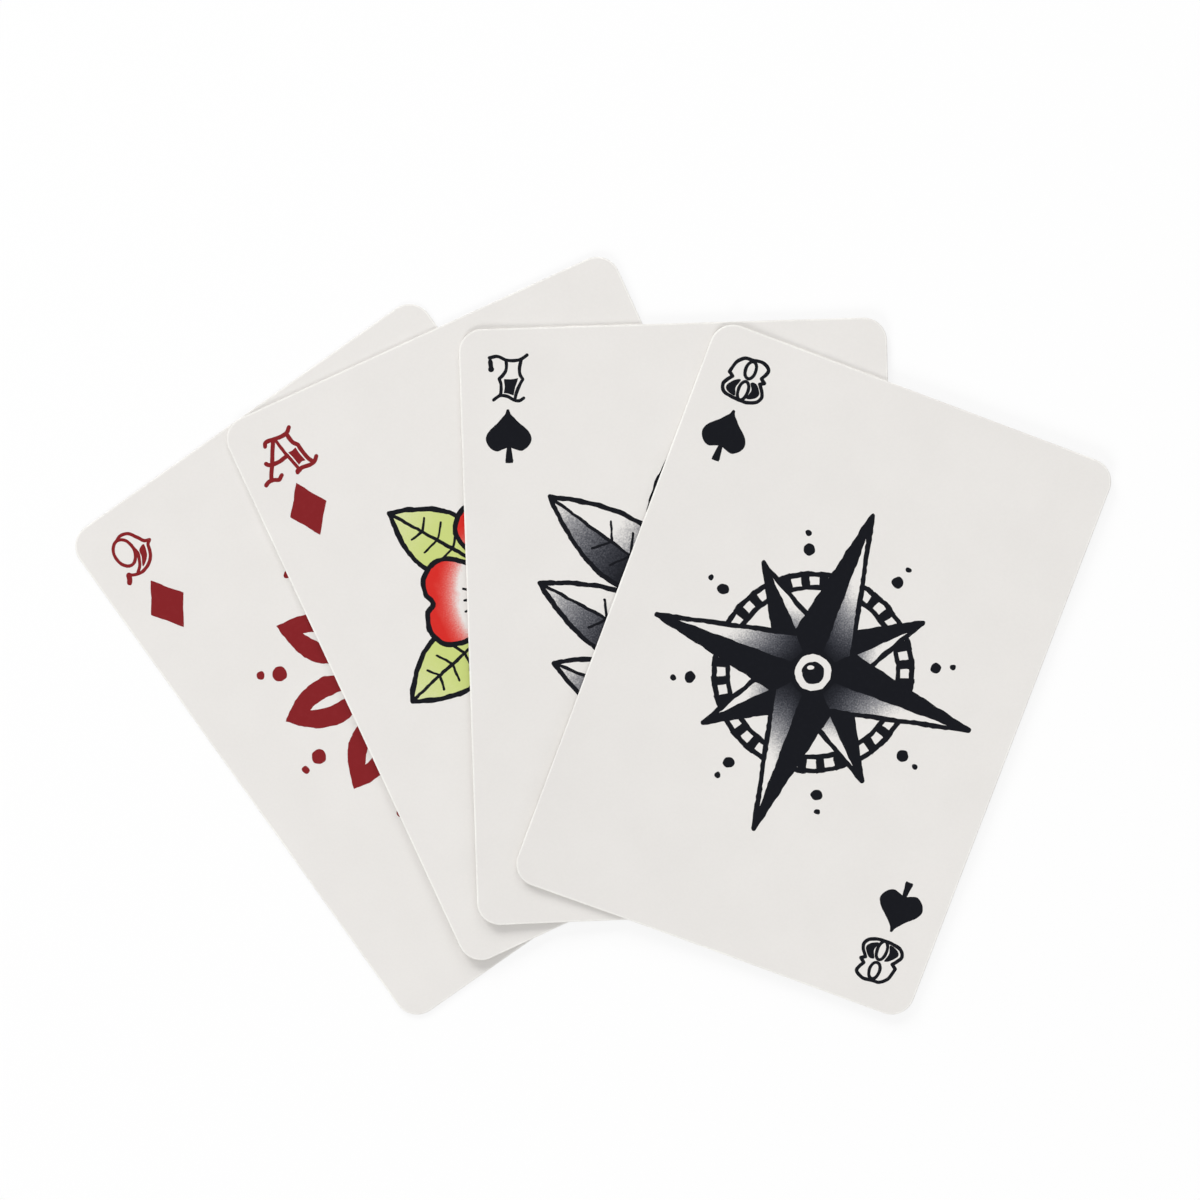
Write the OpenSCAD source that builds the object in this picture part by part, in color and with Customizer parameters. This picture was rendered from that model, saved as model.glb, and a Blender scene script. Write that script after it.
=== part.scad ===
// Four playing cards laid out as an open fan: from the bottom the nine and the ace of diamonds,
// the seven and the eight of spades. Each card is pasteboard, a face sheet and a back sheet
// pasted to an opaque core film, and is die-cut with round corners.
// The bottom card lies on the table. Each further card is the one under it, swivelled about a
// centre below that card's bottom edge and raised by one card. +X runs across the fan,
// +Y towards the cards' tops and +Z up, and the origin is on the table under the fan's middle.

/* [Card] */
// Width of a card
card_w = 63.5; // [56:0.1:72]
// Height of a card
card_h = 88.9; // [80:0.1:100]
// Radius of the round corners
corner_r = 3.5; // [1:0.1:8]

/* [Pasteboard] */
// Thickness of the face sheet
face_t = 0.14; // [0.12:0.01:0.3]
// Thickness of the opaque core film
core_t = 0.02; // [0.01:0.01:0.1]
// Thickness of the back sheet
back_t = 0.14; // [0.12:0.01:0.3]
// Width of the rim that the cutting die rolls over, all round the face
roll_w = 0.15; // [0.05:0.01:0.5]
// Depth of that rolled rim
roll_t = 0.08; // [0.02:0.01:0.1]

/* [Fan] */
// Air between a card and the one under it
air_gap = 0.03; // [0.02:0.01:0.5]
// Angle of the nine on the table, anticlockwise from upright
nine_angle = 35; // [0:0.05:60]
// Angle of the ace from the nine, clockwise
ace_angle = 10.45; // [0:0.05:17]
// Angle of the seven from the ace, clockwise
seven_angle = 22.8; // [0:0.05:45]
// Angle of the eight from the seven, clockwise
eight_angle = 22.25; // [0:0.05:39]

/* [Swivel centres] */
// Ace: distance of its swivel centre left of the nine's middle
ace_pivot_left = 14.4; // [0:0.1:30]
// Ace: distance of its swivel centre below the nine's bottom edge
ace_pivot_drop = 66.1; // [0:0.1:100]
// Seven: distance of its swivel centre left of the ace's middle
seven_pivot_left = 16.5; // [0:0.1:30]
// Seven: distance of its swivel centre below the ace's bottom edge
seven_pivot_drop = 6.8; // [0:0.1:100]
// Eight: distance of its swivel centre left of the seven's middle
eight_pivot_left = 10.9; // [0:0.1:30]
// Eight: distance of its swivel centre below the seven's bottom edge
eight_pivot_drop = 9.1; // [0:0.1:100]

/* [Hidden] */
$fn = 64;
CARDS = ["nine_of_diamonds", "ace_of_diamonds", "seven_of_spades", "eight_of_spades"];

card_t = back_t + core_t + face_t;
card_rise = card_t + air_gap;
straight_w = card_w - 2 * corner_r;
straight_h = card_h - 2 * corner_r;

// Per card, from the bottom: its turn from the card under it, and that swivel's centre
// seen from the middle of the card under it. The nine lies on the table and has no swivel.
angles = [-nine_angle, ace_angle, seven_angle, eight_angle];
pivots = [
    [0, 0],
    [-ace_pivot_left, -card_h / 2 - ace_pivot_drop],
    [-seven_pivot_left, -card_h / 2 - seven_pivot_drop],
    [-eight_pivot_left, -card_h / 2 - eight_pivot_drop]
];

function turned(v, angle) = [
    v.x * cos(angle) - v.y * sin(angle),
    v.x * sin(angle) + v.y * cos(angle)
];

// Anticlockwise turn of a card from upright: every swivel up to it, added up
function heading(i) = -angles[i] + (i == 0 ? 0 : heading(i - 1));

// Where a swivel's centre lies on the table, with the nine's middle as zero
function swivel_centre(i) = middle(i - 1) + turned(pivots[i], heading(i - 1));

// Where the middle of a card lies, with the nine's middle as zero
function middle(i) = i == 0 ? [0, 0]
    : swivel_centre(i) + turned(middle(i - 1) - swivel_centre(i), -angles[i]);

// How far a turned card reaches from its middle, along X and along Y
function reach(i) = corner_r * [1, 1] + [
    straight_w * abs(cos(heading(i))) + straight_h * abs(sin(heading(i))),
    straight_w * abs(sin(heading(i))) + straight_h * abs(cos(heading(i)))
] / 2;

// Middle of the box round the whole fan
lows = [for (i = [0 : len(CARDS) - 1]) middle(i) - reach(i)];
highs = [for (i = [0 : len(CARDS) - 1]) middle(i) + reach(i)];
fan_middle = [
    min([for (low = lows) low.x]) + max([for (high = highs) high.x]),
    min([for (low = lows) low.y]) + max([for (high = highs) high.y])
] / 2;

// A card's outline: two crossed bars and the four round corners
module outline() {
    square([card_w, straight_h], center = true);
    square([straight_w, card_h], center = true);
    at_corners() circle(corner_r);
}

module at_corners() {
    for (x = [-straight_w, straight_w] / 2, y = [-straight_h, straight_h] / 2)
        translate([x, y]) children();
}

// Half of a face sheet's section, from its middle out to the rim that the die rolled over
module rim_section(half_w)
    polygon([
        [0, 0],
        [half_w, 0],
        [half_w, face_t - roll_t],
        [half_w - roll_w, face_t],
        [0, face_t]
    ]);

// A straight stretch of face sheet along Y, with its rolled rim on both sides
module rolled_bar(w, length)
    rotate([90, 0, 0])
        linear_extrude(length, center = true) {
            rim_section(w / 2);
            mirror([1, 0]) rim_section(w / 2);
        }

// Puts a layer at its place in the fan, with the layer's height above its card's underside
module in_fan(i, height) {
    place = middle(i) - fan_middle;
    translate([place.x, place.y, i * card_rise + height])
        rotate(heading(i)) children();
}

module back_sheet(i)
    color([0.53, 0.16, 0.17]) in_fan(i, 0) linear_extrude(back_t) outline();

module core_film(i)
    color([0.2, 0.21, 0.24]) in_fan(i, back_t) linear_extrude(core_t) outline();

module face_sheet(i)
    color([0.91, 0.905, 0.89]) in_fan(i, back_t + core_t) {
        rolled_bar(card_w, straight_h);
        rotate(90) rolled_bar(card_h, straight_w);
        at_corners() rotate_extrude() rim_section(corner_r);
    }

for (i = [0 : len(CARDS) - 1]) {
    back_sheet(i);
    core_film(i);
    face_sheet(i);
}
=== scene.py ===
"""Looks of a fan of four playing cards: curled pasteboard sheets, corner marks, emblems and backs.

Prints are drawn in each card's own plane, in millimetres from its middle, with v towards its top.
"""
import math

import bmesh
import bpy
import numpy as np
from mathutils import Euler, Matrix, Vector
from mathutils.geometry import delaunay_2d_cdt


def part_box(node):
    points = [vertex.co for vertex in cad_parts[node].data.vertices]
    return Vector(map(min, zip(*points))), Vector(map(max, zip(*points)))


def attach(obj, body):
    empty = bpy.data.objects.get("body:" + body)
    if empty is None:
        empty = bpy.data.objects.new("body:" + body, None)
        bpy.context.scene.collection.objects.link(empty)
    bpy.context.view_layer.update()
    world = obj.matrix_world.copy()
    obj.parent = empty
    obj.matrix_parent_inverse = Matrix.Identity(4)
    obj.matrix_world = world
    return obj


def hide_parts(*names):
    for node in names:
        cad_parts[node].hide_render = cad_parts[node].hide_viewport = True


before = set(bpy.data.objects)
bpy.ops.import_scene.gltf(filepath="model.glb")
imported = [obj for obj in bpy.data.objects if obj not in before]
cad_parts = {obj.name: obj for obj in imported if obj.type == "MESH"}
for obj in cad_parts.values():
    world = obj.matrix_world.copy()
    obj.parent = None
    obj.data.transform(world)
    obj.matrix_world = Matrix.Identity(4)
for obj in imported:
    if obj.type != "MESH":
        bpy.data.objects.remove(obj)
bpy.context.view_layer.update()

# Sizes of the cards, in millimetres
MM = 0.001
CORNER_R = 3.5
ROLL_W = 0.15
ROLL_T = 0.08
RIM_W = 0.25
BURR = 0.04
INK_T = 0.010
INK_SINK = 0.004
# Each CAD layer of a card, and the name of the sheet in its place
SHEETS = {"face": "face_sheet", "core": "core_film", "back": "back_sheet"}

# Fineness of the meshes: steps of a curve, and nets and spans in millimetres
CORNER_STEPS = 10
SIDE_STEPS = 24
ROLL_STEPS = 5
CURVE_STEPS = 6
ROUND_STEPS = 28
CAP_STEPS = 5
LEAF_STEPS = 20
DRAWN_SPAN = 0.6
SHEET_NET = 3.0
EMBLEM_NET = 1.2
BACK_NET = 3.0
SHEET_MERGE = 1e-6
PRINT_MERGE = 1e-5
SHARP_ANGLE = math.radians(40)
MAP_MARGIN = 0.01

# The lift of a card's lower left corner: its heading, below left, and how far from the middle it starts
CURL_HEADING = math.radians(17)
CURL_START = 2.0
LIFTS = {
    "nine_of_diamonds": 0.2,
    "ace_of_diamonds": 1.1,
    "seven_of_spades": 1.7,
    "eight_of_spades": 1.75,
}

# Colours as linear RGB
PAPER = (0.811, 0.789, 0.762)
PAPER_SHADE = (0.787, 0.765, 0.738)
# Bare board at the cut edges and rolled rims: whiter than the face as uncoated board, and partly a
# painted highlight along the rim
CUT_PAPER_AND_RIM_HIGHLIGHT = (0.93, 0.92, 0.88)
CORE_INK = (0.04, 0.042, 0.05)
CORE_THIN = (0.064, 0.0672, 0.08)
INKS = {
    "black": ((0.0063, 0.0069, 0.0098), "black_ink"),
    "dark_red": ((0.225, 0.0165, 0.0195), "red_ink"),
    "bright_red": ((0.66, 0.028, 0.022), "red_ink"),
    "leaf_green": ((0.58, 0.66, 0.215), "colour_ink"),
}
# How well ink covers the paper: in full, how far it thins, and the grain of its washes
INK_FULL = 1.06
INK_THIN = 0.12
WASH_GRAIN = 2.2


# Card planes
class Card:
    """A card's place, read from its CAD layers, and the lift of its lower left corner."""

    def __init__(self, name):
        self.name = name
        self.lift = LIFTS[name]
        self.levels = {}
        for layer in SHEETS:
            low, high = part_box(f"{name}_{layer}")
            self.levels[layer] = (low.z / MM, high.z / MM)
        points = np.array([v.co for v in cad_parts[f"{name}_back"].data.vertices])[:, :2]
        self.middle = (points.min(0) + points.max(0)) / 2
        spread = points - self.middle
        self.up = np.linalg.eigh(spread.T @ spread)[1][:, 1]
        self.up *= np.sign(self.up[1])
        self.right = np.array([self.up[1], -self.up[0]])
        self.half_w = np.abs(spread @ self.right).max() / MM
        self.half_h = np.abs(spread @ self.up).max() / MM

    def rise(self, u, v):
        """How far the card stands up at a point of its plane, in millimetres."""
        across, along = math.cos(CURL_HEADING), math.sin(CURL_HEADING)
        full = self.half_w * across + self.half_h * along - CURL_START
        past = max(0.0, -u * across - v * along - CURL_START)
        return self.lift * (past / full) ** 2

    def at(self, u, v, z):
        """The frame's point, in metres, at (u, v) on the card and z above the table before the lift."""
        x, y = self.middle + (u * self.right + v * self.up) * MM
        return Vector((x, y, (z + self.rise(u, v)) * MM))

    def outline(self, inset):
        """The card's outline, anticlockwise, drawn in by inset."""
        radius = CORNER_R - inset
        corners = []
        for quarter, signs in enumerate(((1, 1), (-1, 1), (-1, -1), (1, -1))):
            middle = np.array(signs) * (self.half_w - CORNER_R, self.half_h - CORNER_R)
            turns = (quarter + np.arange(CORNER_STEPS + 1) / CORNER_STEPS) * math.pi / 2
            corners.append(middle + radius * heading(turns))
        points = []
        for corner, following in zip(corners, corners[1:] + corners[:1]):
            points += list(corner)
            side = following[0] - corner[-1]
            points += [corner[-1] + side * step / SIDE_STEPS for step in range(1, SIDE_STEPS)]
        return np.array(points)


# Lines and outlines in a card's plane
def heading(angle):
    """The unit vector, or one for each angle, that many radians anticlockwise from the right."""
    return np.stack([np.cos(angle), np.sin(angle)], -1)


def smooth(points, closed=False):
    """A curve through the points."""
    points = np.array(points, float)
    if closed:
        before, after, beyond = (np.roll(points, shift, 0) for shift in (1, -1, -2))
    else:
        ends = np.vstack([2 * points[0] - points[1], points, 2 * points[-1] - points[-2]])
        before, points, after, beyond = ends[:-3], ends[1:-2], ends[2:-1], ends[3:]
    curve = []
    for a, b, c, d in zip(before, points, after, beyond):
        for t in np.arange(CURVE_STEPS) / CURVE_STEPS:
            bend = 2 * a - 5 * b + 4 * c - d
            twist = 3 * (b - c) + d - a
            curve.append(b + t / 2 * (c - a + t * (bend + t * twist)))
    if not closed:
        curve.append(after[-1])
    return np.array(curve)


def spaced(outline, step):
    """The same closed outline with its long spans divided."""
    outline = np.array(outline, float)
    points = []
    for start, end in zip(outline, np.roll(outline, -1, 0)):
        parts = max(1, math.ceil(np.linalg.norm(end - start) / step))
        points += [start + (end - start) * part / parts for part in range(parts)]
    return np.array(points)


def stroke(line, width):
    """The outline of a round-ended pen stroke along a line."""
    line = np.array(line, float)
    ahead = np.gradient(line, axis=0)
    ahead /= np.linalg.norm(ahead, axis=1)[:, None]
    left = np.stack([-ahead[:, 1], ahead[:, 0]], 1) * width / 2
    first = math.atan2(ahead[0, 1], ahead[0, 0]) + math.pi / 2
    last = math.atan2(ahead[-1, 1], ahead[-1, 0]) - math.pi / 2
    bow = np.arange(1, CAP_STEPS) * math.pi / CAP_STEPS
    end_cap = line[-1] + heading(last + bow) * width / 2
    start_cap = line[0] + heading(first + bow) * width / 2
    return np.vstack([line - left, end_cap, (line + left)[::-1], start_cap])


def oval(middle, reach_u, reach_v, tilt=0.0):
    """An ellipse, turned by tilt in degrees."""
    turns = np.arange(ROUND_STEPS) * 2 * math.pi / ROUND_STEPS
    points = heading(turns) * (reach_u, reach_v)
    return np.array(middle) + turned(points, math.radians(tilt))


def disc(middle, reach):
    """A circle."""
    return oval(middle, reach, reach)


def turned(points, angle):
    """The points turned about the plane's middle, in radians."""
    c, s = math.cos(angle), math.sin(angle)
    return np.array(points) @ np.array([[c, s], [-s, c]])


def closed_line(points):
    """A closed outline as a line that ends where it starts."""
    return np.vstack([points, points[:1]])


def covers(outline, spots):
    """Which spots lie inside an outline, by its winding round them."""
    near = ((spots > outline.min(0)) & (spots < outline.max(0))).all(1)
    start = outline[None]
    span = np.roll(outline, -1, 0)[None] - start
    offset = spots[near][:, None] - start
    turn = span[..., 0] * offset[..., 1] - span[..., 1] * offset[..., 0]
    rising = (offset[..., 1] >= 0) & (offset[..., 1] < span[..., 1]) & (turn > 0)
    falling = (offset[..., 1] < 0) & (offset[..., 1] >= span[..., 1]) & (turn < 0)
    inside = np.zeros(len(spots), bool)
    inside[near] = rising.sum(1) != falling.sum(1)
    return inside


def fade(origin, angle, start, end):
    """A tone that falls from 1 to 0 along a heading, from start to end."""
    way = heading(angle)

    def tone(points):
        along = (points - origin) @ way
        return np.clip((end - along) / (end - start), 0, 1)

    return tone


def full_tone(points):
    """The tone of solid ink."""
    return np.ones(len(points))


# Prints
# Waves by which a pen wanders across and up: share, turns along u and v in radians a millimetre, start
SWAY = ((1.0, 1.9, 1.1, 0.0), (0.6, -2.3, 3.7, 1.0), (0.5, 5.1, -4.3, 0.0))
JOLT = ((1.0, -1.3, 1.6, 0.0), (0.6, 3.1, 2.9, 2.0), (0.5, 5.3, 4.7, 0.0))


class Print:
    """Shapes laid over each other in a card's plane: the last one shows, and no ink is bare paper."""

    def __init__(self, wobble=0.0):
        self.wobble = wobble
        self.shapes = []

    def lay(self, outline, ink, tone=full_tone):
        """Add an outline filled with an ink."""
        points = np.array(outline, float)
        if self.wobble:
            points = self.drawn(spaced(points, DRAWN_SPAN))
        self.shapes.append((points, ink, tone))

    def drawn(self, points):
        """The points moved a little, as a hand-held pen moves them."""
        u, v = points.T
        sway = sum(share * np.sin(by_u * u + by_v * v + start) for share, by_u, by_v, start in SWAY)
        jolt = sum(share * np.cos(by_u * u + by_v * v + start) for share, by_u, by_v, start in JOLT)
        return points + self.wobble * np.stack([sway, jolt], 1)

    def pen(self, line, width, ink):
        """Add a pen line."""
        self.lay(stroke(line, width), ink)

    def triangles(self, net):
        """All corner points, the triangles between them, and the number of the shape on top of each."""
        points, edges = [], []
        for outline, _, _ in self.shapes:
            first, count = len(points), len(outline)
            points += [Vector(point) for point in outline]
            edges += [(first + i, first + (i + 1) % count) for i in range(count)]
        low, high = np.array(points).min(0), np.array(points).max(0)
        for u in np.arange(low[0] + net / 2, high[0], net):
            points += [Vector((u, v)) for v in np.arange(low[1] + net / 2, high[1], net)]
        found = delaunay_2d_cdt(points, edges, [], 0, PRINT_MERGE)
        corners, faces = np.array(found[0]), np.array(found[2])
        middles = corners[faces].mean(1)
        tops = np.full(len(faces), -1)
        for number, (outline, _, _) in enumerate(self.shapes):
            tops[covers(outline, middles)] = number
        return corners, faces, tops

    def make(self, name, card, low, high, net):
        """One thin piece for each ink of the print, between two levels of the card."""
        corners, faces, tops = self.triangles(net)
        inks = sorted({ink for _, ink, _ in self.shapes if ink})
        for ink in inks:
            inked, tones = [], []
            for number, (_, shape_ink, tone) in enumerate(self.shapes):
                chosen = faces[tops == number]
                if shape_ink == ink and len(chosen):
                    inked.append(chosen)
                    tones.append(tone(corners[chosen].reshape(-1, 2)).reshape(-1, 3))
            piece_name = f"{name}_{ink}" if len(inks) > 1 else name
            mesh = ink_mesh(piece_name, card, corners, np.vstack(inked), np.vstack(tones), low, high)
            finish_piece(mesh, card, [ink_material(ink)])


def ink_mesh(name, card, corners, faces, tones, low, high):
    """A closed film over the triangles, with each corner's tone."""
    used, faces = np.unique(faces, return_inverse=True)
    faces = faces.reshape(-1, 3)
    count = len(used)
    points = [card.at(u, v, high) for u, v in corners[used]]
    points += [card.at(u, v, low) for u, v in corners[used]]
    sides = {}
    for face, tone in zip(faces, tones):
        for i in range(3):
            j = (i + 1) % 3
            sides[face[i], face[j]] = (tone[i], tone[j])
    walls = [(a, b) for a, b in sides if (b, a) not in sides]
    polygons = faces.tolist() + (faces[:, ::-1] + count).tolist()
    polygons += [(b, a, a + count, b + count) for a, b in walls]
    shades = tones.ravel().tolist() + tones[:, ::-1].ravel().tolist()
    for wall in walls:
        tone_a, tone_b = sides[wall]
        shades += [tone_b, tone_a, tone_a, tone_b]
    mesh = bpy.data.meshes.new(name)
    mesh.from_pydata(points, [], polygons)
    mesh.attributes.new("tone", "FLOAT", "CORNER").data.foreach_set("value", shades)
    add_flat_map(mesh, corners[used], [corner % count for polygon in polygons for corner in polygon])
    return mesh


def add_flat_map(mesh, places, order):
    """Lay a print flat on the map that a bake uses: order gives the place of each face corner."""
    low, high = places.min(0), places.max(0)
    spots = MAP_MARGIN + (1 - 2 * MAP_MARGIN) * (places - low) / (high - low)
    mesh.uv_layers.new(name="OFBake").data.foreach_set("uv", spots[order].ravel())


def finish_piece(mesh, card, materials):
    """Make an object of a mesh, and let it ride on its card."""
    piece = bpy.data.objects.new(mesh.name, mesh)
    bpy.context.scene.collection.objects.link(piece)
    for material in materials:
        mesh.materials.append(material)
    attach(piece, card.name)
    return piece


# Materials
def new_material(name, roughness, specular):
    """A principled material with these constants, its node tree and its shader."""
    material = bpy.data.materials.new(name)
    material.use_nodes = True
    shader = material.node_tree.nodes["Principled BSDF"]
    shader.inputs["Roughness"].default_value = roughness
    shader.inputs["Specular IOR Level"].default_value = specular
    return material, material.node_tree, shader


def noise(tree, scale, detail):
    """A noise over the piece's own coordinates, with scale in features for each metre."""
    place = tree.nodes.new("ShaderNodeTexCoord")
    texture = tree.nodes.new("ShaderNodeTexNoise")
    texture.inputs["Scale"].default_value = scale
    texture.inputs["Detail"].default_value = detail
    tree.links.new(place.outputs["Object"], texture.inputs["Vector"])
    return texture.outputs["Fac"]


def ramp(tree, factor, stops):
    """Colours along a factor from 0 to 1, as (place, linear RGB) stops."""
    node = tree.nodes.new("ShaderNodeValToRGB")
    elements = node.color_ramp.elements
    while len(elements) < len(stops):
        elements.new(0.5)
    for element, (place, colour) in zip(elements, stops):
        element.position = place
        element.color = (*colour, 1)
    tree.links.new(factor, node.inputs["Fac"])
    return node.outputs["Color"]


def sums(tree, operation, first, second):
    """The result of a maths node on two sockets or numbers."""
    node = tree.nodes.new("ShaderNodeMath")
    node.operation = operation
    for socket, value in zip(node.inputs, (first, second)):
        if isinstance(value, (int, float)):
            socket.default_value = value
        else:
            tree.links.new(value, socket)
    return node.outputs["Value"]


def add_bump(tree, shader, height, strength, distance):
    """Let a height roughen a shader's surface, with distance in metres."""
    bump = tree.nodes.new("ShaderNodeBump")
    bump.inputs["Strength"].default_value = strength
    bump.inputs["Distance"].default_value = distance
    tree.links.new(height, bump.inputs["Height"])
    tree.links.new(bump.outputs["Normal"], shader.inputs["Normal"])


def paper_material(name, light, shade, roughness):
    """Pressed board: faint clouds and fine fibres."""
    material, tree, shader = new_material(name, roughness, specular=0.25)
    clouds = noise(tree, scale=110, detail=3)
    fibres = noise(tree, scale=2600, detail=4)
    mix = sums(tree, "ADD", sums(tree, "MULTIPLY", clouds, 0.6), sums(tree, "MULTIPLY", fibres, 0.4))
    colour = ramp(tree, mix, [(0.35, shade), (0.65, light)])
    tree.links.new(colour, shader.inputs["Base Color"])
    add_bump(tree, shader, fibres, strength=0.12, distance=0.00003)
    return material


def density(ink, share):
    """The colour of an ink that lets part of the paper show through."""
    return tuple(p ** (1 - share) * i ** share for p, i in zip(PAPER, ink))


def ink_material(ink):
    """Printed ink, laid down by the mesh's tone, with a slightly uneven cover."""
    name = f"{ink}_ink"
    if name in bpy.data.materials:
        return bpy.data.materials[name]
    material, tree, shader = new_material(name, roughness=0.5, specular=0.05)
    attribute = tree.nodes.new("ShaderNodeAttribute")
    attribute.attribute_name = "tone"
    tone = attribute.outputs["Fac"]
    thin = sums(tree, "MULTIPLY", noise(tree, scale=1500, detail=5), INK_THIN)
    solid = sums(tree, "SUBTRACT", sums(tree, "MULTIPLY", tone, INK_FULL), thin)
    wash = sums(tree, "MULTIPLY", tone, sums(tree, "SUBTRACT", 1.0, tone))
    grain = sums(tree, "SUBTRACT", noise(tree, scale=4500, detail=2), 0.5)
    grain = sums(tree, "MULTIPLY", sums(tree, "MULTIPLY", grain, wash), WASH_GRAIN)
    cover = sums(tree, "ADD", solid, grain)
    stops = [(share, density(INKS[ink][0], share)) for share in (0, 0.2, 0.4, 0.6, 0.8, 1)]
    tree.links.new(ramp(tree, cover, stops), shader.inputs["Base Color"])
    add_bump(tree, shader, noise(tree, scale=4000, detail=3), strength=0.1, distance=0.00002)
    return material


def core_material():
    """The dark glue film inside a card, thinner in patches."""
    material, tree, shader = new_material("core_film", roughness=0.7, specular=0.2)
    patches = noise(tree, scale=700, detail=3)
    colour = ramp(tree, patches, [(0.3, CORE_INK), (0.7, CORE_THIN)])
    tree.links.new(colour, shader.inputs["Base Color"])
    return material


# Card sheets
def rolled(flat, side, width):
    """Steps of a rim, as (inset, level), that bends from the side's level over to a flat."""
    turns = np.arange(ROLL_STEPS + 1) * math.pi / 2 / ROLL_STEPS
    return [(width * (1 - math.cos(t)), side + (flat - side) * math.sin(t)) for t in turns]


def sheet_mesh(name, card, rims):
    """A closed sheet whose sides, of material 1, follow the rims from its underside to its top."""
    shell = bmesh.new()
    loops = []
    for inset, level in rims:
        loops.append([shell.verts.new(card.at(u, v, level)) for u, v in card.outline(inset)])
    for below, above in zip(loops, loops[1:]):
        count = len(below)
        for i in range(count):
            j = (i + 1) % count
            shell.faces.new((below[i], below[j], above[j], above[i])).material_index = 1
    for loop, (inset, level) in ((loops[0], rims[0]), (loops[-1], rims[-1])):
        add_cap(shell, card, loop, inset, level)
    bmesh.ops.recalc_face_normals(shell, faces=shell.faces)
    mesh = bpy.data.meshes.new(name)
    shell.to_mesh(mesh)
    shell.free()
    mesh.polygons.foreach_set("use_smooth", [True] * len(mesh.polygons))
    mesh.set_sharp_from_angle(angle=SHARP_ANGLE)
    return mesh


def add_cap(shell, card, loop, inset, level):
    """Close a loop of a sheet with a net fine enough to follow the card's curl."""
    outline = card.outline(inset)
    count = len(outline)
    columns = np.arange(SHEET_NET - card.half_w, card.half_w - SHEET_NET / 2, SHEET_NET)
    rows = np.arange(SHEET_NET - card.half_h, card.half_h - SHEET_NET / 2, SHEET_NET)
    points = [Vector(point) for point in outline]
    points += [Vector((u, v)) for u in columns for v in rows]
    edges = [(i, (i + 1) % count) for i in range(count)]
    corners, _, faces, sources, _, _ = delaunay_2d_cdt(points, edges, [], 0, SHEET_MERGE)
    verts = []
    for corner, source in zip(corners, sources):
        if source and min(source) < count:
            verts.append(loop[min(source)])
        else:
            verts.append(shell.verts.new(card.at(corner.x, corner.y, level)))
    for face in faces:
        shell.faces.new([verts[i] for i in face])


def layer_rims(card, layer):
    """The steps of a layer's rim, as (inset, level), from its underside to its top."""
    low, high = card.levels[layer]
    if layer == "face":
        return [(0, low)] + rolled(high, high - ROLL_T, ROLL_W) + [(RIM_W, high)]
    if layer == "back":
        return rolled(low, low + BURR, BURR)[::-1] + [(0, high)]
    return [(0, low), (0, high)]


def make_sheets(card, paper, cut_edge_and_highlight, core):
    """The card's three sheets, in place of its CAD layers."""
    for layer, sheet in SHEETS.items():
        mesh = sheet_mesh(f"{card.name}_{sheet}", card, layer_rims(card, layer))
        # The sides and rims take the cut paper, whose whiteness is partly a painted highlight along the
        # rim
        materials = [core, core] if layer == "core" else [paper, cut_edge_and_highlight]
        piece = finish_piece(mesh, card, materials)
        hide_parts(f"{card.name}_{layer}")


# Corner marks
INDEX_AT = (-24.7, 37.1)
# A pip is drawn smaller by about its pen line, which rounds its corners
PIP_PEN = 0.26
PIP_SIZE = 0.97
# How far each card's corner marks lie off their usual place
REGISTER = {
    "nine_of_diamonds": (0.0, -0.08),
    "ace_of_diamonds": (0.08, -0.2),
    "seven_of_spades": (0.0, 0.03),
    "eight_of_spades": (-0.08, 0.0),
}
DIAMOND_AT = (-24.9, 28.25)
SPADE_AT = (-24.8, 28.47)
MARK_HAND = 0.02


def draw_nine():
    """The figure 9 as outlines about its own middle."""
    bowl = oval((-1.0, 0.97), 1.5, 2.1, -6)
    top = smooth([(-1.05, 3.05), (0, 3.4), (1.15, 2.95), (1.9, 1.8), (2.5, 0.75), (3.2, 0.4)])
    belly = smooth([
        (3.2, 0.4), (2.65, 0), (2.3, -0.95), (1.6, -1.95),
        (0.6, -2.6), (-0.5, -2.85), (-1.55, -2.6), (-2.4, -2.05),
    ])
    inner = smooth([(0.5, 0.9), (0.6, -0.2), (0.2, -1.2), (-0.3, -2.0), (-1.0, -2.5)])
    tail = smooth([(-2.35, -2.1), (-2.6, -2.65), (-2.95, -3.1)])
    block = [(1.05, 0.05), (2.1, 0.42), (1.8, -0.85), (1.1, -1.75), (0.1, -2.25), (0.75, -1.0)]
    lines = [closed_line(bowl), top, belly, inner]
    shapes = [stroke(line, width=0.5) for line in lines]
    return shapes + [stroke(tail, width=0.8), smooth(block, closed=True)]


def draw_ace():
    """The letter A as outlines about its own middle."""
    lines = [
        [(-0.7, 2.6), (-2.0, 0), (-3.2, -2.25), (-3.3, -2.85)],
        [(-2.15, 2.25), (-1.8, 2.8), (-0.7, 2.75), (0.6, 2.6), (1.6, 2.75), (2.35, 3.4)],
        [(1.6, 2.7), (1.85, 1.35), (2.5, 0.4)],
        [(2.5, 0.4), (2.75, -1.0), (3.15, -2.25), (3.6, -2.95)],
        [(-3.15, -0.2), (-2.75, -0.6), (-2.0, -0.72), (-1.1, -0.7), (0.3, -0.4)],
        [(-4.5, -3.15), (-3.9, -2.85), (-3.1, -2.9), (-2.3, -3.2), (-1.7, -2.75)],
        [(0.7, -3.35), (1.5, -2.95), (2.85, -3.1), (3.8, -2.85), (4.3, -2.3)],
    ]
    inner = smooth([(-0.4, 2.6), (0.12, 0.35), (0.66, -1.45), (1.1, -2.9)])
    block = [
        (0.63, 0.03), (1.3, -0.02), (1.98, 0.22), (2.2, -1.1),
        (2.55, -2.15), (1.95, -2.1), (1.34, -2.38), (1.04, -1.2),
    ]
    spur = oval((0.98, -3.12), 0.6, 0.42, tilt=20)
    shapes = [stroke(smooth(line), width=0.65) for line in lines]
    return shapes + [stroke(inner, width=0.5), spur, block]


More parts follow.
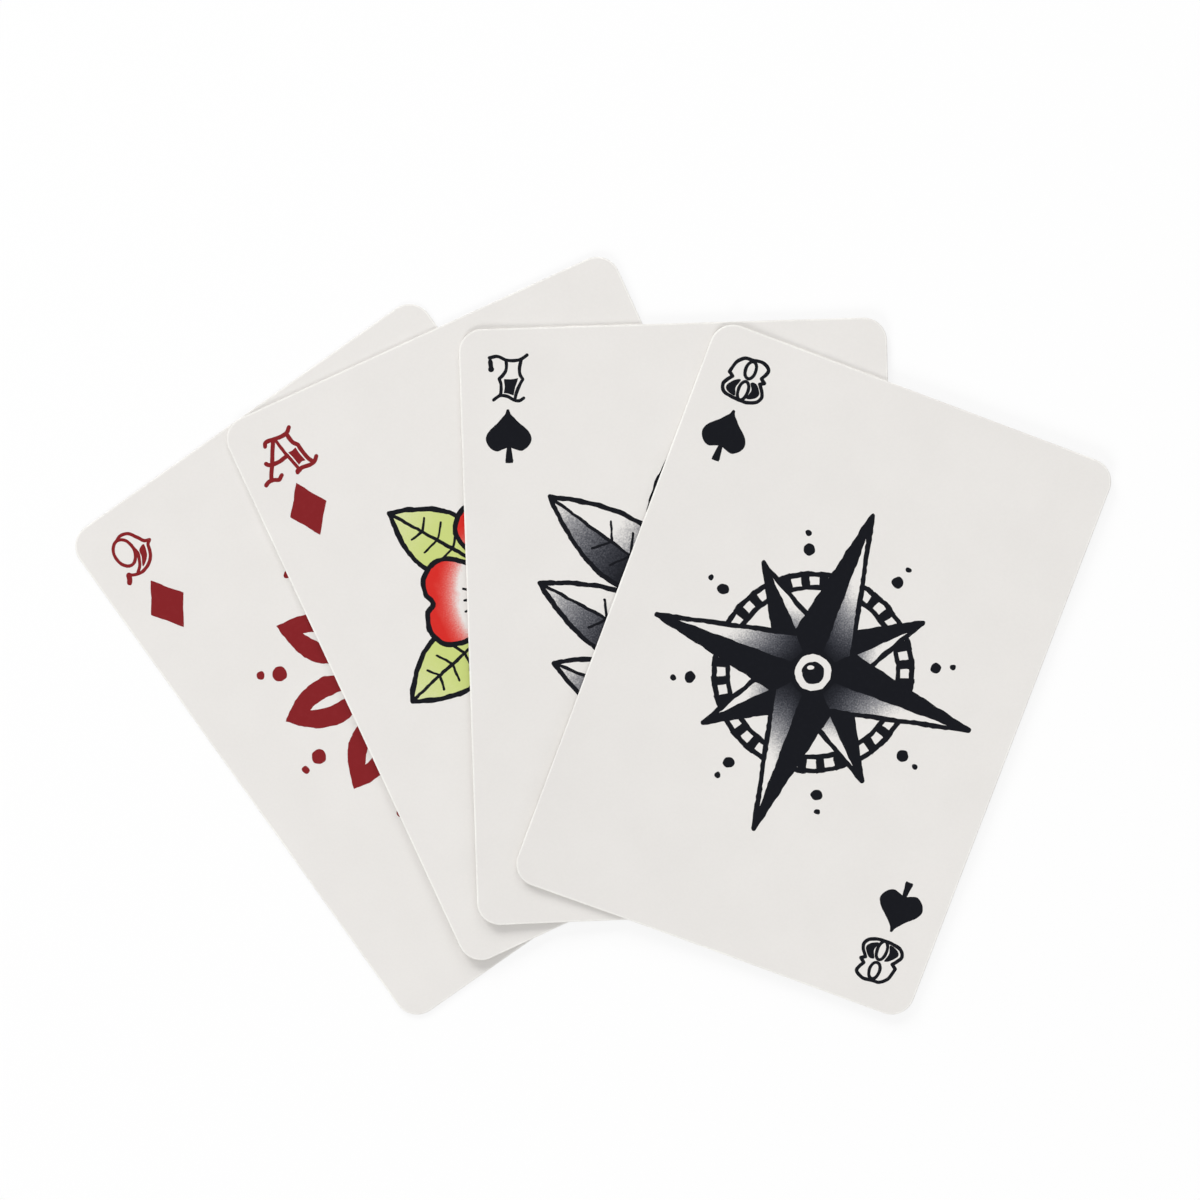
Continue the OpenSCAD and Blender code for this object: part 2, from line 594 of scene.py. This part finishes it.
def draw_seven():
    """The figure 7 as outlines about its own middle."""
    lines = [
        [(-2.55, 3.05), (-1.3, 3.2), (-0.1, 2.65), (1.2, 2.5), (2.2, 2.75), (3.05, 3.3)],
        [(-2.45, 3.05), (-2.4, 2.1), (-2.35, 1.3)],
        [(-0.1, 2.6), (-0.15, 1.25), (-0.65, 0.4), (-1.2, -0.1)],
        [(-1.2, -0.1), (-0.95, -1.0), (-1.05, -2.15), (-1.25, -2.6)],
        [(2.15, 2.65), (1.85, 1.4), (1.95, 0.35), (2.3, -0.3)],
        [(2.3, -0.3), (1.7, -1.25), (1.25, -2.3), (1.05, -3.2)],
        [(-2.1, -3.2), (-1.2, -2.6), (-0.1, -2.75), (0.95, -3.3), (1.7, -3.4), (2.3, -3.05)],
    ]
    block = [
        (-0.5, -0.15), (0.5, -0.2), (1.6, -0.1), (1.15, -1.3),
        (0.85, -2.6), (0.1, -2.35), (-0.6, -2.25), (-0.4, -1.2),
    ]
    drop = [stroke([(-2.42, 2.4), (-2.35, 1.5)], width=0.72), oval((-2.35, 1.38), 0.46, 0.44)]
    return [stroke(smooth(line), width=0.5) for line in lines] + drop + [block]


def draw_eight():
    """The figure 8 as outlines about its own middle."""
    lines = [
        [(0.1, 3.25), (-1.2, 3.15), (-2.15, 2.3), (-2.55, 1.25), (-2.75, 0.45)],
        [(-2.75, 0.45), (-2.05, 0)],
        [(-2.05, 0), (-2.65, -0.75), (-3.0, -1.6), (-2.45, -2.55), (-1.2, -2.9), (0.1, -2.98)],
        [(0.1, 3.25), (1.45, 3.4), (2.6, 2.75), (2.5, 1.9), (2.1, 1.15)],
        [(2.1, 1.15), (2.75, 0.6)],
        [(2.75, 0.6), (2.15, 0.25)],
        [(2.15, 0.25), (2.85, -0.7), (3.1, -1.6), (2.5, -2.45), (1.25, -2.93), (0.1, -2.98)],
    ]
    eyes = [oval((0.15, 1.75), 0.78, 1.3), oval((0.15, -1.5), 0.72, 1.45)]
    blocks = [
        [(-0.7, -0.1), (-1.5, -0.35), (-2.4, -1.4), (-2.1, -2.25), (-0.75, -2.6), (-1.05, -1.4)],
        [(0.8, 0), (1.7, 0.08), (2.6, -1.1), (2.1, -2.0), (1.0, -2.4), (1.28, -1.1)],
    ]
    shapes = [stroke(smooth(line), width=0.54) for line in lines]
    shapes += [stroke(closed_line(eye), width=0.5) for eye in eyes]
    return shapes + [smooth(block, closed=True) for block in blocks]


def draw_diamond():
    """The diamond pip about its own middle, with sides slightly drawn in."""
    tips = np.array([(2.9, 0), (0, 4.25), (-2.9, 0), (0, -4.25)])
    drawn_in = 0.95
    points = []
    for tip, following in zip(tips, np.roll(tips, -1, 0)):
        points += [tip, drawn_in * (tip + following) / 2]
    return spaced(points, step=1.0)


def draw_spade():
    """The spade pip about its own middle."""
    lobe = smooth([
        (0.08, 4.0), (0.24, 3.45), (0.62, 2.92), (1.6, 1.9), (2.75, 0.85),
        (3.35, -0.25), (3.0, -1.38), (2.0, -2.12), (1.0, -1.9), (0.22, -1.58),
    ])
    stem = smooth([(0.22, -1.58), (0.3, -2.6), (0.52, -3.95)])
    right = np.vstack([lobe, stem[1:]])
    return np.vstack([right, right[::-1] * (-1, 1)])


# Each card's figure and its size
FIGURES = {
    "nine_of_diamonds": (draw_nine, 1.0),
    "ace_of_diamonds": (draw_ace, 0.975),
    "seven_of_spades": (draw_seven, 1.0),
    "eight_of_spades": (draw_eight, 1.0),
}


def corner_marks(name):
    """A card's figure and pip, at the top left and again, turned round, at the bottom right."""
    red = name.endswith("diamonds")
    ink = "dark_red" if red else "black"
    draw, size = FIGURES[name]
    shapes = [size * np.array(shape) + INDEX_AT for shape in draw()]
    pip = PIP_SIZE * draw_diamond() + DIAMOND_AT if red else PIP_SIZE * draw_spade() + SPADE_AT
    shapes += [pip, stroke(closed_line(pip), PIP_PEN)]
    marks = Print(MARK_HAND)
    for shape in shapes:
        placed = shape + np.array(REGISTER[name])
        marks.lay(placed, ink)
        marks.lay(-placed, ink)
    return marks


# Emblems
EMBLEM_PEN = 0.75
RIB_PEN = 0.5
FINE_PEN = 0.38
HAND = 0.055
# How a ray's wash pales outwards, and the dark along its spine
WASH_PEAK = 1.15
WASH_END = 0.62
WASH_POWER = 1.6
SPINE_TONE = 0.3
SPINE_W = 0.8
# Where the red of a petal's foot ends and that of its rim starts, from the flower's middle
FOOT_END = 9.0
FOOT_FADE = 3.2
RIM_START = 10.6
RIM_FADE = 3.4
# Pairs of leaves of the sprig: height, length, lean off its stem in degrees and half width
LEAF_PAIRS = ((-14, 21, 66, 4.4), (-5.5, 24, 60, 4.8), (4.5, 24, 52, 4.8))


def leaf(base, tip, half_width, fullness):
    """A pointed leaf's two sides from base to tip: the left one and the right one."""
    base, tip = np.array(base, float), np.array(tip, float)
    share = np.linspace(0, 1, LEAF_STEPS + 1)[:, None]
    spread = half_width * np.sin(math.pi * share ** fullness) ** 0.9
    along = tip - base
    left = np.array([-along[1], along[0]]) / np.linalg.norm(along)
    rib = base + share * along
    return rib + spread * left, rib - spread * left


def star_points(count, first, outer, inner):
    """Tips and valleys of a star, in turn, from the first angle in radians."""
    turns = first + np.arange(2 * count) * math.pi / count
    reach = np.where(np.arange(2 * count) % 2, inner, outer)
    return heading(turns) * reach[:, None]


def whip_shade(angle, reach):
    """A wash that is dark at a star's middle and along the ray at an angle, and pales outwards."""
    way = heading(angle)

    def tone(points):
        along = np.clip(points @ way / reach, 0, 1)
        beside = np.abs(points @ np.array([-way[1], way[0]]))
        wash = np.clip(WASH_PEAK * (1 - along / WASH_END), 0, 1) ** WASH_POWER
        return wash + SPINE_TONE * np.exp(-beside / SPINE_W) * (1 - along)

    return tone


def lay_star(art, count, first, outer, inner):
    """A star whose rays are black on one side and shaded on the other."""
    points = star_points(count, first, outer, inner)
    middle = np.zeros(2)
    for ray in range(count):
        tip = points[2 * ray]
        angle = first + ray * 2 * math.pi / count
        art.lay([middle, points[2 * ray - 1], tip], "black", whip_shade(angle, outer))
        art.lay([middle, tip, points[2 * ray + 1]], "black")
    for ray in range(count):
        tip = points[2 * ray]
        for valley in (points[2 * ray - 1], points[2 * ray + 1]):
            art.pen([tip, valley], EMBLEM_PEN, "black")
        art.pen([middle, tip], EMBLEM_PEN, "black")


def lay_band(art, outer, inner, blocks):
    """A ring of two pen lines with every other block between them filled."""
    art.lay(disc((0, 0), outer), "black")
    art.lay(disc((0, 0), outer - EMBLEM_PEN), None)
    for block in range(blocks):
        turns = (block + np.linspace(0, 0.5, 4)) * 2 * math.pi / blocks
        art.lay(np.vstack([heading(turns) * outer, heading(turns[::-1]) * inner]), "black")
    art.lay(disc((0, 0), inner + EMBLEM_PEN), "black")
    art.lay(disc((0, 0), inner), None)


def compass_star():
    """The emblem of the eight: a star of eight rays over a ring, with dots between its tips."""
    art = Print(HAND)
    lay_band(art, outer=15.2, inner=12.4, blocks=32)
    lay_star(art, count=4, first=math.pi / 4, outer=18.0, inner=5.6)
    lay_star(art, count=4, first=math.pi / 2, outer=25.0, inner=6.4)
    for reach, ink in ((3.5, "black"), (2.75, None), (1.7, "black")):
        art.lay(disc((0, 0), reach), ink)
    glint = oval((-0.55, 0.6), 0.5, 0.35, tilt=40)
    art.lay(glint, None)
    for gap in range(8):
        way = heading(math.radians(22.5 + 45 * gap))
        for distance, reach in ((18.4, 0.85), (20.9, 0.45)):
            art.lay(disc(way * distance, reach), "black")
    return art


def lay_veins(art, base, tip, side, shares, lag, reach):
    """Fine veins from a leaf's rib towards one of its sides, at shares of its length."""
    for share in shares:
        start = base + (tip - base) * (share - lag)
        art.pen([start, start + reach * (side[int(LEAF_STEPS * share)] - start)], FINE_PEN, "black")


def lay_leaf(art, base, tip, half_width):
    """A leaf with one half dark towards its base, a rib, side veins and an outline."""
    base, tip = np.array(base, float), np.array(tip, float)
    left, right = leaf(base, tip, half_width, fullness=0.8)
    rib = np.linspace(base, tip, 9)
    along = tip - base
    length = np.linalg.norm(along)
    angle = math.atan2(along[1], along[0])
    art.lay(np.vstack([left, right[::-1]]), None)
    art.lay(np.vstack([left, rib[::-1]]), "black", fade(base, angle, 0.25 * length, length))
    art.lay(np.vstack([right, rib[::-1]]), "black", fade(base, angle, -0.2 * length, 0.6 * length))
    for side in (left, right):
        art.pen(side, EMBLEM_PEN, "black")
        lay_veins(art, base, tip, side, shares=(0.35, 0.5, 0.65), lag=0.12, reach=0.62)
    art.pen(rib, RIB_PEN, "black")


def seven_leaf_sprig():
    """The emblem of the seven: a stem with three pairs of leaves and one at its end, and berries."""
    art = Print(HAND)
    stem = smooth([(1.6, -25), (0.5, -18), (0, -10), (0, 8)])
    art.pen(stem, 1.1, "black")
    for height, length, lean, half_width in LEAF_PAIRS:
        for side in (-1, 1):
            base = np.array((0, height))
            tip = base + length * heading(math.radians(90 - lean * side))
            lay_leaf(art, base, tip, half_width)
            berry = base + (side * 2.6, -1.3)
            art.pen([base, berry], FINE_PEN, "black")
            art.lay(disc(berry, 1.25), "black")
            glint = oval(berry + (-0.35, 0.4), 0.4, 0.3, tilt=40)
            art.lay(glint, None)
    lay_leaf(art, base=(0, 7), tip=(0, 26), half_width=4.4)
    return art


def petal():
    """A petal that points right, from the flower's middle."""
    upper = [(3.0, 0.5), (6.0, 3.4), (9.8, 5.9), (13.2, 6.3), (15.4, 4.2), (15.6, 1.6)]
    lower = [(u, -v) for u, v in reversed(upper)]
    notch = [(14.6, 0)]
    return smooth(upper + notch + lower, closed=True)


def petal_tone(middle):
    """Red at the petals' feet and rims, with a pale band between them."""

    def tone(points):
        reach = np.linalg.norm(points - middle, axis=1)
        foot = (FOOT_END - reach) / FOOT_FADE
        rim = (reach - RIM_START) / RIM_FADE
        return np.clip(np.maximum(foot, rim), 0, 1)

    return tone


def lay_bloom_leaf(art, middle, angle):
    """A yellow-green leaf behind the petals."""
    base, tip = middle + 7 * heading(angle), middle + 24 * heading(angle)
    left, right = leaf(base, tip, half_width=4.6, fullness=0.9)
    art.lay(np.vstack([left, right[::-1]]), "leaf_green", fade(base, angle, start=9, end=28))
    for side in (left, right):
        art.pen(side, EMBLEM_PEN, "black")
        lay_veins(art, base, tip, side, shares=(0.45, 0.6, 0.75), lag=0.08, reach=0.6)
    art.pen(np.linspace(base, tip, 9), RIB_PEN, "black")


def red_bloom():
    """The emblem of the ace: a red flower with yellow-green leaves."""
    art = Print(HAND)
    middle = np.array((0.0, 3.0))
    turns = math.radians(90) + np.arange(5) * math.radians(72)
    for turn in turns:
        lay_bloom_leaf(art, middle, turn + math.radians(36))
    for turn in turns:
        outline = middle + turned(petal(), turn)
        art.lay(outline, "bright_red", petal_tone(middle))
        art.pen(closed_line(outline), EMBLEM_PEN, "black")
        for bend in (-10, 0, 10):
            ways = heading(turn + math.radians(bend) * np.array((0.6, 0.8, 1.0)))
            vein = middle + ways * np.array((5.0, 7.5, 10.0))[:, None]
            art.pen(vein, FINE_PEN, "black")
    art.lay(disc(middle, 4.0), "black")
    art.lay(disc(middle, 3.3), "leaf_green")
    for seed in range(6):
        place = middle + 1.8 * heading(math.radians(60 * seed))
        art.lay(disc(place, 0.42), "black")
    art.lay(disc(middle, 0.5), "black")
    return art


def nine_petal_rosette():
    """The emblem of the nine: nine dark red petals and dots round a ring."""
    art = Print(HAND)
    for petal_number in range(9):
        angle = math.radians(90 + 40 * petal_number)
        way = heading(angle)
        left, right = leaf(6.2 * way, 21.0 * way, half_width=3.7, fullness=1.05)
        art.lay(np.vstack([left, right[::-1]]), "dark_red")
        left, right = leaf(9.5 * way, 17.0 * way, half_width=0.75, fullness=1.0)
        art.lay(np.vstack([left, right[::-1]]), None)
        between = heading(angle + math.radians(20))
        for distance, reach in ((20.0, 1.15), (22.8, 0.6)):
            art.lay(disc(distance * between, reach), "dark_red")
    for reach, ink in ((5.4, "dark_red"), (4.4, None), (2.6, "dark_red")):
        art.lay(disc((0, 0), reach), ink)
    return art


EMBLEMS = {
    "nine_of_diamonds": nine_petal_rosette,
    "ace_of_diamonds": red_bloom,
    "seven_of_spades": seven_leaf_sprig,
    "eight_of_spades": compass_star,
}

# Backs
BACK_MARGIN = 5.6
BACK_FRAME = 4.4
BACK_EDGE = 0.5
BACK_PEN = 0.6
BACK_COLUMNS = 11
BACK_ROWS = 12
BACK_INK = "dark_red"
# The rhombs in each other, as shares of a cell
RHOMBS = ((0.86, BACK_INK), (0.5, None), (0.26, BACK_INK))


def rectangle(low, high):
    """A rectangle between two corners."""
    return [low, (high[0], low[1]), high, (low[0], high[1])]


def rhombus(middle, half_u, half_v):
    """A rhombus about its middle."""
    return np.array(middle) + [(half_u, 0), (0, half_v), (-half_u, 0), (0, -half_v)]


def card_back(card):
    """A panel of rhombs, each with a smaller one in it, inside a ruled frame."""
    art = Print()
    half_u, half_v = card.half_w - BACK_MARGIN, card.half_h - BACK_MARGIN
    cell_u, cell_v = half_u / BACK_COLUMNS, half_v / BACK_ROWS
    for i in range(-BACK_COLUMNS, BACK_COLUMNS + 1):
        for j in range(-BACK_ROWS, BACK_ROWS + 1):
            if (i + j) % 2 == 0:
                middle = (i * cell_u, j * cell_v)
                for share, ink in RHOMBS:
                    art.lay(rhombus(middle, share * cell_u, share * cell_v), ink)
    lay_frame(art, card, half_u, half_v)
    return art


def lay_frame(art, card, half_u, half_v):
    """Bare paper round the panel, and the ruled line in it."""
    edge_u, edge_v = card.half_w - BACK_EDGE, card.half_h - BACK_EDGE
    for side in (-1, 1):
        low, high = sorted((side * half_u, side * edge_u))
        art.lay(rectangle((low, -edge_v), (high, edge_v)), None)
        low, high = sorted((side * half_v, side * edge_v))
        art.lay(rectangle((-edge_u, low), (edge_u, high)), None)
    line_u, line_v = card.half_w - BACK_FRAME, card.half_h - BACK_FRAME
    frame_line = np.array(rectangle((-line_u, -line_v), (line_u, line_v)))
    for start, end in zip(frame_line, np.roll(frame_line, -1, 0)):
        art.pen([start, end], BACK_PEN, BACK_INK)


# Stage, light and camera
FLOOR_DROP = 0.00002
FLOOR_REACH = 8.0
FLOOR_COLOUR = (0.96, 0.96, 0.96)
FLOOR_GLOW = 0.8
WHITE = (1, 1, 1, 1)
AMBIENT = 0.30
LAMP_REACH = 3.0
# Azimuth from the right and elevation in degrees, size in metres, share of the light on a white card
LAMPS = {
    "overhead": (90, 82, 2.2, 0.145),
    "key_left": (120, 27, 1.2, 0.25),
    "key_right": (80, 27, 1.2, 0.10),
    "front": (247, 28, 1.1, 0.23),
    "side_right": (325, 30, 1.2, 0.035),
}
# The photograph's view: its aim on the table in millimetres, tilt in degrees and distance in metres
CAMERA_AIM = (0.98, 5.806)
CAMERA_TILT = (-4.044, -0.831)
CAMERA_REACH = 0.45
CAMERA_SENSOR = 36
CAMERA_LENS = 90.4


def path_kinds(tree):
    """1 where a ray comes from the camera, or from it by gloss or glass."""
    path = tree.nodes.new("ShaderNodeLightPath")
    seen = sums(tree, "MAXIMUM", path.outputs["Is Camera Ray"], path.outputs["Is Glossy Ray"])
    return sums(tree, "MAXIMUM", seen, path.outputs["Is Transmission Ray"])


def floor_material():
    """White to the camera but for part of the shadows on it; clear from below."""
    material, tree, shader = new_material("floor", roughness=0.9, specular=0.0)
    shader.inputs["Base Color"].default_value = (*FLOOR_COLOUR, 1)
    glow = tree.nodes.new("ShaderNodeEmission")
    glow.inputs["Color"].default_value = WHITE
    seen = tree.nodes.new("ShaderNodeMixShader")
    tree.links.new(sums(tree, "MULTIPLY", path_kinds(tree), FLOOR_GLOW), seen.inputs["Fac"])
    tree.links.new(shader.outputs["BSDF"], seen.inputs[1])
    tree.links.new(glow.outputs["Emission"], seen.inputs[2])
    clear = tree.nodes.new("ShaderNodeBsdfTransparent")
    sides = tree.nodes.new("ShaderNodeMixShader")
    below = tree.nodes.new("ShaderNodeNewGeometry")
    tree.links.new(below.outputs["Backfacing"], sides.inputs["Fac"])
    tree.links.new(seen.outputs["Shader"], sides.inputs[1])
    tree.links.new(clear.outputs["BSDF"], sides.inputs[2])
    tree.links.new(sides.outputs["Shader"], tree.nodes["Material Output"].inputs["Surface"])
    return material


def make_floor():
    """A plain floor just under the pack, which lets the room's light through to the backs."""
    mesh = bpy.data.meshes.new("floor")
    signs = [(-1, -1), (1, -1), (1, 1), (-1, 1)]
    corners = [(x * FLOOR_REACH, y * FLOOR_REACH, -FLOOR_DROP) for x, y in signs]
    mesh.from_pydata(corners, [], [(0, 1, 2, 3)])
    mesh.materials.append(floor_material())
    floor = bpy.data.objects.new("floor", mesh)
    floor.visible_diffuse = False
    floor.visible_shadow = False
    bpy.context.scene.collection.objects.link(floor)


def make_world():
    """An even soft light from all round, white to the camera."""
    world = bpy.data.worlds.new("studio")
    world.use_nodes = True
    tree = world.node_tree
    strength = sums(tree, "ADD", sums(tree, "MULTIPLY", path_kinds(tree), 1 - AMBIENT), AMBIENT)
    background = tree.nodes["Background"]
    background.inputs["Color"].default_value = WHITE
    tree.links.new(strength, background.inputs["Strength"])
    bpy.context.scene.world = world


def make_lamp(name, azimuth, elevation, size, share):
    """A soft square lamp that faces the cards and gives a share of the light on a white one."""
    azimuth, elevation = math.radians(azimuth), math.radians(elevation)
    flat = math.cos(elevation)
    way = Vector((flat * math.cos(azimuth), flat * math.sin(azimuth), math.sin(elevation)))
    lamp = bpy.data.lights.new(name, "AREA")
    lamp.size = size
    lamp.energy = share * (math.pi * LAMP_REACH) ** 2 / way.z
    piece = bpy.data.objects.new(name, lamp)
    piece.location = way * LAMP_REACH
    piece.rotation_euler = way.to_track_quat("Z", "Y").to_euler()
    piece.visible_camera = False
    bpy.context.scene.collection.objects.link(piece)


def make_camera():
    """The photograph's view, from nearly straight above."""
    camera = bpy.data.cameras.new("camera")
    camera.sensor_width = CAMERA_SENSOR
    camera.lens = CAMERA_LENS
    view = bpy.data.objects.new("camera", camera)
    tilt_x, tilt_y = CAMERA_TILT
    view.rotation_euler = Euler((math.radians(tilt_x), math.radians(tilt_y), 0))
    aim = Vector((*CAMERA_AIM, 0)) * MM
    view.location = aim + view.rotation_euler.to_matrix() @ Vector((0, 0, CAMERA_REACH))
    bpy.context.scene.collection.objects.link(view)
    bpy.context.scene.camera = view


# The pack
def make_card(name, paper, cut_edge_and_highlight, core):
    """A card's sheets and its prints."""
    card = Card(name)
    make_sheets(card, paper, cut_edge_and_highlight, core)
    top = card.levels["face"][1]
    corner_marks(name).make(f"{name}_corner_marks", card, top - INK_SINK, top + INK_T, EMBLEM_NET)
    EMBLEMS[name]().make(f"{name}_emblem", card, top - INK_SINK, top + INK_T, EMBLEM_NET)
    under = card.levels["back"][0]
    card_back(card).make(f"{name}_back_print", card, under - INK_T, under + INK_SINK, BACK_NET)


def make_pack():
    """All four cards, from the lowest up."""
    paper = paper_material("card_paper", PAPER, PAPER_SHADE, roughness=0.55)
    # The cut edges' paper is whiter, partly as bare board and partly as a painted highlight along the
    # rims
    cut_edge_and_highlight = paper_material("cut_paper_and_rim_highlight", CUT_PAPER_AND_RIM_HIGHLIGHT, PAPER, roughness=0.7)
    core = core_material()
    for name in LIFTS:
        make_card(name, paper, cut_edge_and_highlight, core)


make_pack()
make_floor()
make_world()
for lamp_name, lamp in LAMPS.items():
    make_lamp(lamp_name, *lamp)
make_camera()
bpy.context.scene.view_settings.view_transform = "Standard"
